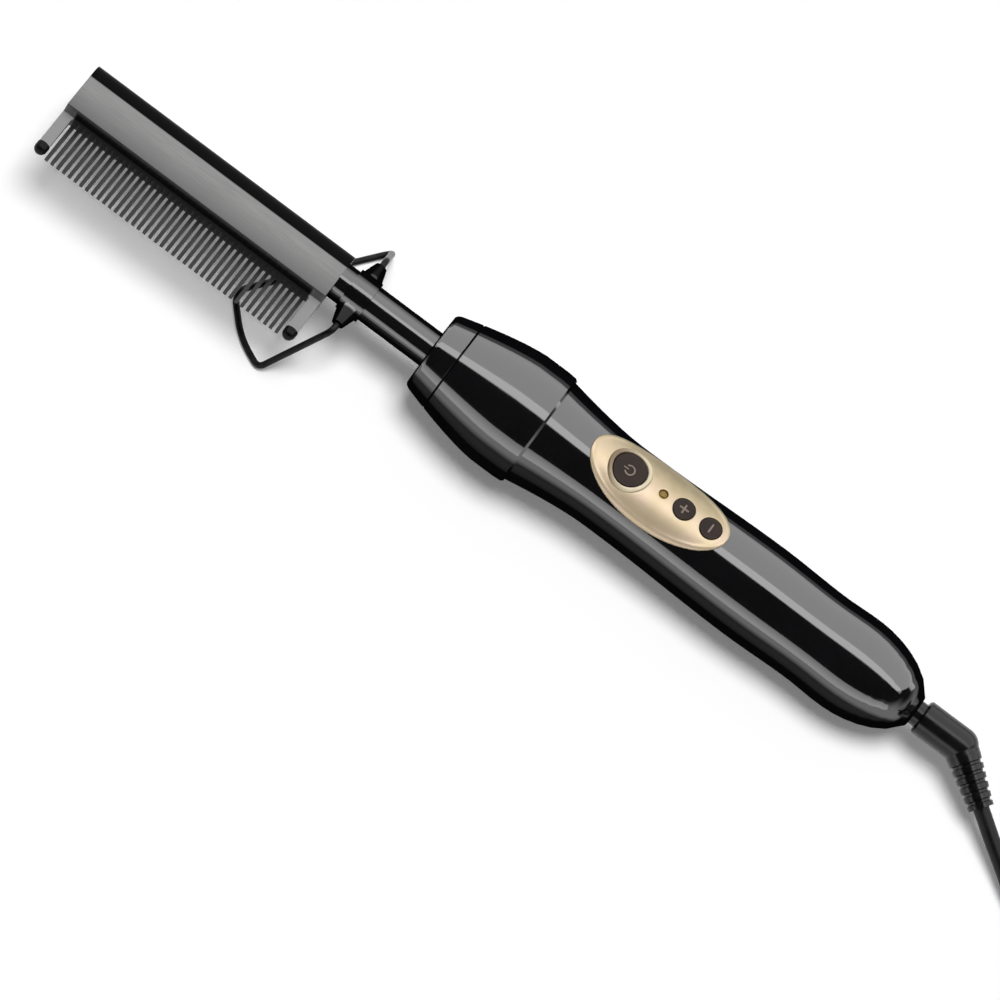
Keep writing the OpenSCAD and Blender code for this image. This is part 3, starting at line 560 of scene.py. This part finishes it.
def wind_point(t):
    """The centreline after t turns: in and out at a steady rate, a layer up where it reverses."""
    layer, share = divmod(t / LAYER_TURNS, 1)
    r = coil_out_r - WIND_PITCH * LAYER_TURNS * (share if layer % 2 == 0 else 1 - share)
    climb = sum(eased((t - k * LAYER_TURNS + 0.25) / 0.5) for k in range(1, COIL_LAYERS))
    rise = WIND_PITCH * climb + last_rise(360 * (t - coil_turns))
    return coil_centre + r * turned(360 * t) + Vector((0, 0, rise))


def over_point(angle):
    """The last stretch, which turns in over the coil to the plug."""
    middle = coil_centre + (coil_out_r - OVER_R) * turned(0)
    return middle + OVER_R * turned(angle) + Vector((0, 0, top_h - COIL_H + last_rise(angle)))


elbow_dir = Vector(
    (math.cos(ELBOW), -math.sin(ELBOW) * math.cos(ELBOW_ROLL), -math.sin(ELBOW) * math.sin(ELBOW_ROLL))
)
cord_dir = elbow_dir.x * ALONG + elbow_dir.y * SIDE + elbow_dir.z * UP
cord_exit = place(TAIL_X + RUNNING_GAP + SWIVEL_TO_ELBOW) / MM + ELBOW_TO_CORD * cord_dir


def make_cord_route():
    """The whole centreline, in metres: the lead, the coil and the stretch over it to the plug."""
    lead = [
        cord_exit,
        cord_exit + CORD_D * cord_dir,
        Vector((180, -16.5, 7.5)),
        Vector((187, -21, 6)),
        Vector((195, -26.5, 4.6)),
        Vector((203, -32, 3.8)),
        Vector((210, -36.9, COIL_H)),
        COIL_START - CORD_D * coil_heading,
        COIL_START,
    ]
    coil = [wind_point(i / TURN_STEPS) for i in range(int(coil_turns * TURN_STEPS) + 1)]
    over = [over_point(OVER_TURN * i / OVER_STEPS) for i in range(1, OVER_STEPS + 1)]
    plug_start = over[-1] + CORD_D * plug_dir
    route = smooth_route(lead, 1.5)[:-1] + [COIL_START] + coil + over + [plug_start]
    return [p * MM for p in route]


cord_route = make_cord_route()
cord = curve_piece("mains_cord", cord_route, CORD_R * MM, "swivel", "cord_black", ("cord_lead", "cord_coil"))

# ---------------------------------------------------------------- stand wire

BEND_STEPS = 12
FOOT_GAP = 0.05
FOOT_Z = WIRE_R + FOOT_GAP - PIVOT.z


def foot_corner(side):
    return Vector((-STAND_LEAD + STAND_SKEW * side, STAND_HALF_W * side, FOOT_Z))


def toward(a, b, d):
    """The point d away from a, on the way to b."""
    return a + d * (b - a).normalized()


def bend(a, b, c):
    """Points of a curve from a to c that is drawn towards b."""
    shares = [i / BEND_STEPS for i in range(BEND_STEPS + 1)]
    return [(1 - t) ** 2 * a + 2 * t * (1 - t) * b + t**2 * c for t in shares]


def rounded_bend(a, b, c, r):
    """The corner at b of a, b, c, rounded by r."""
    d = r / math.tan((a - b).angle(c - b) / 2)
    return bend(toward(b, a, d), b, toward(b, c, d))


def leg(side, onward):
    """The wire from its lug over the shoulder and down to the foot."""
    shoulder = Vector((0, side * SHOULDER_Y, 0))
    corner = foot_corner(side)
    start = [Vector((0, side * LUG_IN, 0))]
    pin = bend(Vector((0, side * PIN_END, 0)), shoulder, toward(shoulder, corner, PIN_BEND))
    return start + pin + rounded_bend(shoulder, corner, onward, CORNER_BEND_R)


near, far = foot_corner(-1), foot_corner(1)
front = Vector((-LOOP_REACH, -LOOP_SIDE, FOOT_Z))
way = (front - near).normalized()
bow = near.lerp(front, BOW_AT) + LOOP_BOW * Vector((-way.y, way.x, 0))
loop = rounded_bend(near, bow, front, BOW_BEND_R) + rounded_bend(bow, front, far, FRONT_BEND_R)
wire_points = leg(-1, bow) + loop
wire_route = [(PIVOT + p) * MM for p in wire_points + leg(1, front)[::-1]]
curve_piece("bench_wire", wire_route, WIRE_R * MM, "stand", "wire_steel", ("stand_wire",))

# ---------------------------------------------------------------- handle skins

ON_LINE = 0.05
SLOPE_STEP = 0.05
SAME_SIDE = 0.94


def polished(node, line):
    """A copy of a CAD node whose outer surface has the exact normals of the smooth outline."""
    source = frame["nodes"][node]
    mesh = source.data.copy()
    normals = [Vector(n.vector) for n in mesh.corner_normals]
    points = [tool_point(v.co) for v in mesh.vertices]
    for i, loop in enumerate(mesh.loops):
        x, y, z = points[loop.vertex_index]
        r = math.hypot(y, z)
        if r < 1 or abs(r - line(x)) > ON_LINE:
            continue
        slope = (line(x + SLOPE_STEP) - line(x - SLOPE_STEP)) / (2 * SLOPE_STEP)
        exact = (ALONG * -slope + SIDE * (y / r) + UP * (z / r)).normalized()
        if exact.dot(normals[i]) > SAME_SIDE:
            normals[i] = exact
    mesh.normals_split_custom_set(normals)
    skin = bpy.data.objects.new(node + "_skin", mesh)
    dress(skin, source["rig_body"], slot_of[node], (node,))


for node in ("nose_ring", "nose_collar"):
    polished(node, nose_radius)
for node in ("upper_shell", "lower_shell"):
    polished(node, shell_radius)

# ---------------------------------------------------------------- control plate

PLATE_POINTS = 144
CELL = 0.9
HOLE_EDGE = 0.18
CORNER_ANGLES = (0, 0.4, 0.8, 1.2, math.pi / 2)


def plate_outline(grow):
    """The plate's superellipse, grown on all sides."""
    a = PLATE_LEN / 2 + grow
    b = PLATE_W / 2 + grow
    points = []
    for i in range(PLATE_POINTS):
        t = 2 * math.pi * i / PLATE_POINTS
        c, s = math.cos(t), math.sin(t)
        x = a * math.copysign(abs(c) ** (2 / PLATE_POWER), c)
        y = b * math.copysign(abs(s) ** (2 / PLATE_POWER), s)
        points.append((PLATE_FROM + PLATE_LEN / 2 + x, y))
    return points


def circle(x, r, count=64):
    angles = [2 * math.pi * i / count for i in range(count)]
    return [(x + r * math.cos(a), r * math.sin(a)) for a in angles]


def plate_height(x, y):
    """Height of the plate's face over the tool's axis."""
    return math.sqrt((shell_radius(x) + PLATE_PROUD) ** 2 - y * y)


def inside(point, loop):
    x, y = point
    crossed = False
    for (x1, y1), (x2, y2) in zip(loop, loop[1:] + loop[:1]):
        if (y1 > y) != (y2 > y) and x < x1 + (y - y1) * (x2 - x1) / (y2 - y1):
            crossed = not crossed
    return crossed


def off_holes(x, y, holes, clearance):
    return all(math.hypot(x - hole_x, y) > r + clearance for hole_x, r in holes)


def face_cells(rings, inner, holes):
    """The face between the rings, in triangles: its points, the number of each ring point, the triangles."""
    flat = [p for ring in rings for p in ring]
    bounds = []
    start = 0
    for ring in rings:
        n = len(ring)
        bounds += [(start + i, start + (i + 1) % n) for i in range(n)]
        start += n
    low_x, high_x = min(p[0] for p in inner), max(p[0] for p in inner)
    for i in range(int((high_x - low_x) / CELL) + 1):
        for j in range(-int(PLATE_W / CELL), int(PLATE_W / CELL) + 1):
            p = (low_x + i * CELL, j * CELL * 0.9 + (i % 2) * CELL * 0.45)
            if off_holes(*p, holes, HOLE_EDGE + 0.5 * CELL) and inside(p, inner):
                flat.append(p)
    found, _, cells, origins, _, _ = delaunay_2d_cdt([Vector(p) for p in flat], bounds, [], 0, 1e-5)
    index = {source: i for i, sources in enumerate(origins) for source in sources}
    kept = []
    for cell in cells:
        c = sum((found[i] for i in cell), Vector((0, 0))) / len(cell)
        if inside(c, rings[0]) and off_holes(*c, holes, 0.999 * HOLE_EDGE):
            kept.append(list(cell))
    return found, index, kept


def quad(a, b, i, outward):
    j = (i + 1) % len(a)
    return [a[i], b[i], b[j], a[j]] if outward else [a[j], b[j], b[i], a[i]]


def curved_plate(rim, holes, depth):
    """Points and faces of the closed plate: rim lists (inset, rise) from the face out to the edge."""
    corner = [(HOLE_EDGE * (1 - math.sin(a)), -HOLE_EDGE * (1 - math.cos(a))) for a in CORNER_ANGLES]
    loops = [([plate_outline(-inset) for inset, _ in rim], [rise for _, rise in rim])]
    for x, r in holes:
        loops.append(([circle(x, r + d) for d, _ in corner], [rise for _, rise in corner]))
    inner = plate_outline(-rim[0][0] - 0.6 * CELL)
    found, index, kept = face_cells([rings[0] for rings, _ in loops], inner, holes)
    points = [(p.x, p.y, plate_height(p.x, p.y) + rim[0][1]) for p in found]
    under = len(points)
    points += [(p.x, p.y, plate_height(p.x, p.y) - depth) for p in found]
    faces = kept + [[under + i for i in reversed(cell)] for cell in kept]
    start = 0
    for k, (rings, rises) in enumerate(loops):
        n = len(rings[0])
        ring = [index[start + i] for i in range(n)]
        below = [under + i for i in ring]
        start += n
        for points_2d, rise in [*zip(rings[1:], rises[1:]), (rings[-1], -depth)]:
            base = len(points)
            points += [(x, y, plate_height(x, y) + rise) for x, y in points_2d]
            new = list(range(base, base + n))
            faces += [quad(ring, new, i, k == 0) for i in range(n)]
            ring = new
        faces += [quad(ring, below, i, k == 0) for i in range(n)]
    return points, faces


def make_plate():
    flat_to_crest = [(1.9, 0.0), (1.6, 0.03), (1.3, 0.12), (1.0, 0.2), (0.7, 0.22)]
    crest_to_edge = [(0.4, 0.16), (0.18, 0.04), (0.05, -0.1), (0, -0.3)]
    step_hole_r = STEP_R + BUTTON_GAP
    holes = [(POWER_X, RING_R + RING_GAP), (PLUS_X, step_hole_r), (MINUS_X, step_hole_r)]
    holes.append((LAMP_X, LAMP_R + BUTTON_GAP))
    points, faces = curved_plate(flat_to_crest + crest_to_edge, holes, PLATE_DEPTH - PLATE_GAP)
    mesh_piece("gold_plate", points, faces, "handle", "plate_gold", ("control_plate",))


# ---------------------------------------------------------------- buttons, ring and lamp

EDGE_STEPS = 5
POWER_EDGE = 0.35
STEP_EDGE = 0.3
SIGN_SINK = 0.05
POWER_SIGN_R = 1.55
POWER_SIGN_W = 0.42
POWER_SIGN_RISE = 0.25
POWER_BAR_LEN = 1.7
STEP_SIGN_LEN = 3.2
STEP_SIGN_W = 0.6
STEP_SIGN_RISE = 0.3
SIGN_OPENING = 0.62
SIGN_STEPS = 28


def turned_top(x, stations, count=64):
    """Points and faces of a turned solid; its stations are (radius, height, follows the plate)."""
    points = []
    faces = []
    rings = []
    for r, h, follows in stations:
        base = len(points)
        if r == 0:
            points.append((x, 0, h + (plate_height(x, 0) if follows else 0)))
            rings.append([base] * count)
            continue
        for px, py in circle(x, r, count):
            points.append((px, py, h + (plate_height(px, py) if follows else 0)))
        rings.append(list(range(base, base + count)))
    for a, b in zip(rings, rings[1:]):
        for i in range(count):
            j = (i + 1) % count
            corners = list(dict.fromkeys([a[i], b[i], b[j], a[j]]))
            if len(corners) > 2:
                faces.append(corners)
    return points, faces


def rounded(r, top, edge):
    """Stations of a rounded outer edge: from the flat to the wall."""
    angles = [math.pi / 2 * i / EDGE_STEPS for i in range(EDGE_STEPS + 1)]
    return [(r - edge + edge * math.sin(a), top - edge * (1 - math.cos(a)), True) for a in angles]


def button_stations(r, dish, edge):
    """A cap with a dished top and a rounded edge, its flange and its stem."""
    flat = r - edge
    top = [(flat * i / 10, -dish * (1 - (i / 10) ** 2), True) for i in range(10)]
    return [
        *top,
        *rounded(r, 0.0, edge),
        (r, FLANGE_Z + FLANGE_T, False),
        (r + FLANGE_OUT, FLANGE_Z + FLANGE_T, False),
        (r + FLANGE_OUT, FLANGE_Z, False),
        (STEM_R, FLANGE_Z, False),
        (STEM_R, STEM_Z, False),
        (0, STEM_Z, False),
    ]


def bar(x, turn, length, width, base, rise, bevel):
    """Points and faces of a raised bar with a bevelled top, that follows the plate."""
    c, s = math.cos(turn), math.sin(turn)
    points = []
    for shrink, h in ((0, base), (0, base + rise - bevel), (bevel, base + rise)):
        for sx, sy in ((-1, -1), (1, -1), (1, 1), (-1, 1)):
            u = sx * (length / 2 - shrink)
            v = sy * (width / 2 - shrink)
            px, py = x + u * c - v * s, u * s + v * c
            points.append((px, py, plate_height(px, py) + h))
    faces = [[3, 2, 1, 0], [8, 9, 10, 11]]
    for k in (0, 4):
        faces += [[k + i, k + (i + 1) % 4, k + 4 + (i + 1) % 4, k + 4 + i] for i in range(4)]
    return points, faces


def joined(*parts):
    points = []
    faces = []
    for more_points, more_faces in parts:
        base = len(points)
        points += more_points
        faces += [[base + i for i in face] for face in more_faces]
    return points, faces


def power_mark(x, radius, width, base, rise):
    """The open ring of the usual power sign."""
    points = []
    faces = []
    for i in range(SIGN_STEPS + 1):
        a = SIGN_OPENING + (2 * math.pi - 2 * SIGN_OPENING) * i / SIGN_STEPS
        for r, h in ((-0.5, 0), (-0.5, 1), (0.5, 1), (0.5, 0)):
            px = x - (radius + r * width) * math.cos(a)
            py = (radius + r * width) * math.sin(a)
            points.append((px, py, plate_height(px, py) + base + h * rise))
    for i in range(SIGN_STEPS):
        k = 4 * i
        faces += [[k + j, k + (j + 1) % 4, k + 4 + (j + 1) % 4, k + 4 + j] for j in range(4)]
    faces += [[3, 2, 1, 0], [4 * SIGN_STEPS + j for j in range(4)]]
    return points, faces


def make_power_button():
    base = -SIGN_SINK - POWER_DISH
    cap = turned_top(POWER_X, button_stations(POWER_R, POWER_DISH, POWER_EDGE))
    mesh_piece("power_cap", *cap, "power", "button_dark", ("power_button",))
    ring = power_mark(POWER_X, POWER_SIGN_R, POWER_SIGN_W, base, POWER_SIGN_RISE)
    stroke = bar(POWER_X - 1.3, 0, POWER_BAR_LEN, POWER_SIGN_W, base, POWER_SIGN_RISE + 0.02, 0.05)
    sign = joined(ring, stroke)
    mesh_piece("power_sign", *sign, "power", "mark_pale")


def make_step_button(name, x, turns):
    """The plus or minus button; its sign has a bar for each turn."""
    cap = turned_top(x, button_stations(STEP_R, STEP_DISH, STEP_EDGE))
    mesh_piece(name + "_cap", *cap, name, "button_dark", (name + "_button",))
    base = -SIGN_SINK - STEP_DISH
    bars = [bar(x, turn, STEP_SIGN_LEN, STEP_SIGN_W, base, STEP_SIGN_RISE, 0.12) for turn in turns]
    sign = joined(*bars)
    mesh_piece(name + "_sign", *sign, name, "mark_pale")


def make_ring():
    hole = POWER_R + BUTTON_GAP
    stations = [(hole, -PLATE_DEPTH, True)]
    for a in (0, 0.5, 1, 1.3):
        out = RING_INNER_EDGE * (1 - math.cos(a))
        down = RING_INNER_EDGE * (1 - math.sin(a))
        stations.append((hole + out, RING_RISE - down, True))
    stations += rounded(RING_R, RING_RISE, RING_EDGE)
    stations += [(RING_R, -PLATE_DEPTH, True), (hole, -PLATE_DEPTH, True)]
    mesh_piece("cream_ring", *turned_top(POWER_X, stations), "handle", "ring_cream", ("power_ring",))


def make_lamp():
    foot = LAMP_TOP - LAMP_DOME
    angles = (0, 0.3, 0.6, 0.9, 1.2, math.pi / 2)
    dome = [(LAMP_R * math.sin(a), foot + LAMP_DOME * math.cos(a), True) for a in angles]
    stations = [*dome, (LAMP_R, -LAMP_DEPTH, True), (0, -LAMP_DEPTH, True)]
    mesh_piece("amber_lamp", *turned_top(LAMP_X, stations, 32), "handle", "lamp_amber", ("status_lamp",))


make_plate()
make_power_button()
make_step_button("plus", PLUS_X, (0, math.pi / 2))
make_step_button("minus", MINUS_X, (math.pi / 2,))
make_ring()
make_lamp()

# ---------------------------------------------------------------- carried-over nodes

for name, node in frame["nodes"].items():
    node.data.materials.clear()
    node.data.materials.append(MATERIALS[slot_of[name]])

# ---------------------------------------------------------------- stage

AIM_Z = 0.02
FLOOR_HALF = 15.0
FLOOR_LIFT = 0.15
KEY_ENERGY = 2.45
KEY_ANGLE = math.radians(30)
PANEL_W = 2.3
HORIZON_LIGHT = 1.0
ZENITH_LIGHT = 0.02
HORIZON_HEIGHTS = (0.04, 0.36)


def face_towards(thing, position, target):
    """Puts a lamp at position, its own X along the row's X, shining at target."""
    back = (position - target).normalized()
    right = Vector((1, 0, 0))
    turn = Matrix((right, back.cross(right), back)).transposed().to_4x4()
    thing.matrix_world = Matrix.Translation(position) @ turn


def round_tool(angle, distance):
    """A point round the tool: angle 0 is level in front of the teeth and 90 is overhead."""
    a = math.radians(angle)
    return Vector((0, -distance * math.cos(a), distance * math.sin(a) + AIM_Z))


def hang_lamp(data, angle, distance):
    lamp = bpy.data.objects.new(data.name, data)
    bpy.context.scene.collection.objects.link(lamp)
    face_towards(lamp, round_tool(angle, distance), Vector((0, 0, AIM_Z)))
    return lamp


def soft_box(name, angle, distance, size, radiance, **visible):
    data = bpy.data.lights.new(name, "AREA")
    data.shape = "RECTANGLE"
    data.size, data.size_y = size
    data.energy = radiance * math.pi * size[0] * size[1]
    lamp = hang_lamp(data, angle, distance)
    lamp.visible_camera = False
    for key, value in visible.items():
        setattr(lamp, "visible_" + key, value)


def paper(tree, shader, where):
    """Near-white floor, lifted to full white only where the camera, gloss or glass sees it."""
    grain = noise(tree, where, 900.0)
    wire_up(tree, shader, Base_Color=mixed(tree, grain, grey(0.93), grey(0.95)))
    constants(shader, Roughness=0.9, Specular_IOR_Level=0.1, Emission_Color=(1, 1, 1, 1))
    path = add(tree, "LightPath").outputs
    seen = math_node(tree, "ADD", path["Is Camera Ray"], path["Is Glossy Ray"])
    seen = math_node(tree, "ADD", seen, path["Is Transmission Ray"])
    wire_up(tree, shader, Emission_Strength=math_node(tree, "MULTIPLY", seen, FLOOR_LIFT))


def make_floor():
    corners = [(x * FLOOR_HALF, y * FLOOR_HALF, 0) for x, y in ((-1, -1), (1, -1), (1, 1), (-1, 1))]
    mesh = bpy.data.meshes.new("floor")
    mesh.from_pydata(corners, [], [(0, 1, 2, 3)])
    mesh.materials.append(surface("paper", paper))
    floor = bpy.data.objects.new("floor", mesh)
    bpy.context.scene.collection.objects.link(floor)


def make_lamps():
    key = bpy.data.lights.new("key", "SUN")
    key.energy = KEY_ENERGY
    key.angle = KEY_ANGLE
    hang_lamp(key, 90.5, 2).visible_glossy = False
    soft_box("fill", 95, 1.6, (2.4, 2.4), 0.2, glossy=False)
    soft_box("back_panel", 123, 0.6, (PANEL_W, 1.08), 1.9, diffuse=False)
    soft_box("back_edge", 90, 0.6, (PANEL_W, 0.16), 1.4, diffuse=False)
    soft_box("front_panel", 9, 0.8, (PANEL_W, 0.31), 1.1, diffuse=False)


def make_world():
    """White round the horizon, nearly dark overhead."""
    world = bpy.data.worlds.new("studio")
    bpy.context.scene.world = world
    world.use_nodes = True
    tree = world.node_tree
    height = axis(tree, add(tree, "TexCoord").outputs["Generated"], "Z")
    level = spread(tree, height, HORIZON_LIGHT, ZENITH_LIGHT, *HORIZON_HEIGHTS)
    background = tree.nodes["Background"].inputs
    tree.links.new(level, background["Strength"])
    background["Color"].default_value = (1, 1, 1, 1)


make_floor()
make_lamps()
make_world()
bpy.context.scene.view_settings.view_transform = "Standard"
